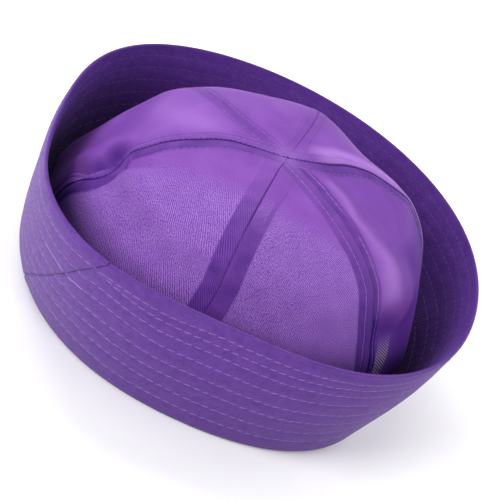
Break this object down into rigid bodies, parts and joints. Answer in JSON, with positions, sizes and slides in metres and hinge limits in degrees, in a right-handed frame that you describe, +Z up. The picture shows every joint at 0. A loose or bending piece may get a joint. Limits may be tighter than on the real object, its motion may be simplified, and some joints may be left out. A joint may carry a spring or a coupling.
{
  "type": "sailor hat",
  "caption": "Soft sailor hat in purple cotton twill, with a panelled round crown and a stiff brim turned up all round in rows of topstitching.",
  "frame": {"origin": "on the surface that the hat stands on, under the middle of its outline seen from above", "axes": "+Z up through the crown, +X to the right and -Y to the front, which is the side the picture was taken from"},
  "size_m": [0.223, 0.2406, 0.098],
  "materials": {
    "crown_twill": "soft cotton twill with a slight sheen, lilac purple",
    "brim_twill": "stiffened cotton twill, quilted by rows of topstitching, purple",
    "brim_lining_twill": "stiffened cotton twill, quilted by rows of topstitching, purple, in the brim's shade",
    "stitching_thread": "twisted sewing thread, purple with a slight gloss"
  },
  "bodies": {
    "root": {"brim_outer_band": "brim_twill", "brim_inner_band": "brim_lining_twill", "crown_panel_back_right": "crown_twill", "crown_panel_back_left": "crown_twill", "crown_panel_left": "crown_twill", "crown_panel_front_left": "crown_twill", "crown_panel_front_right": "crown_twill", "crown_panel_right": "crown_twill"}
  },
  "joints": []
}
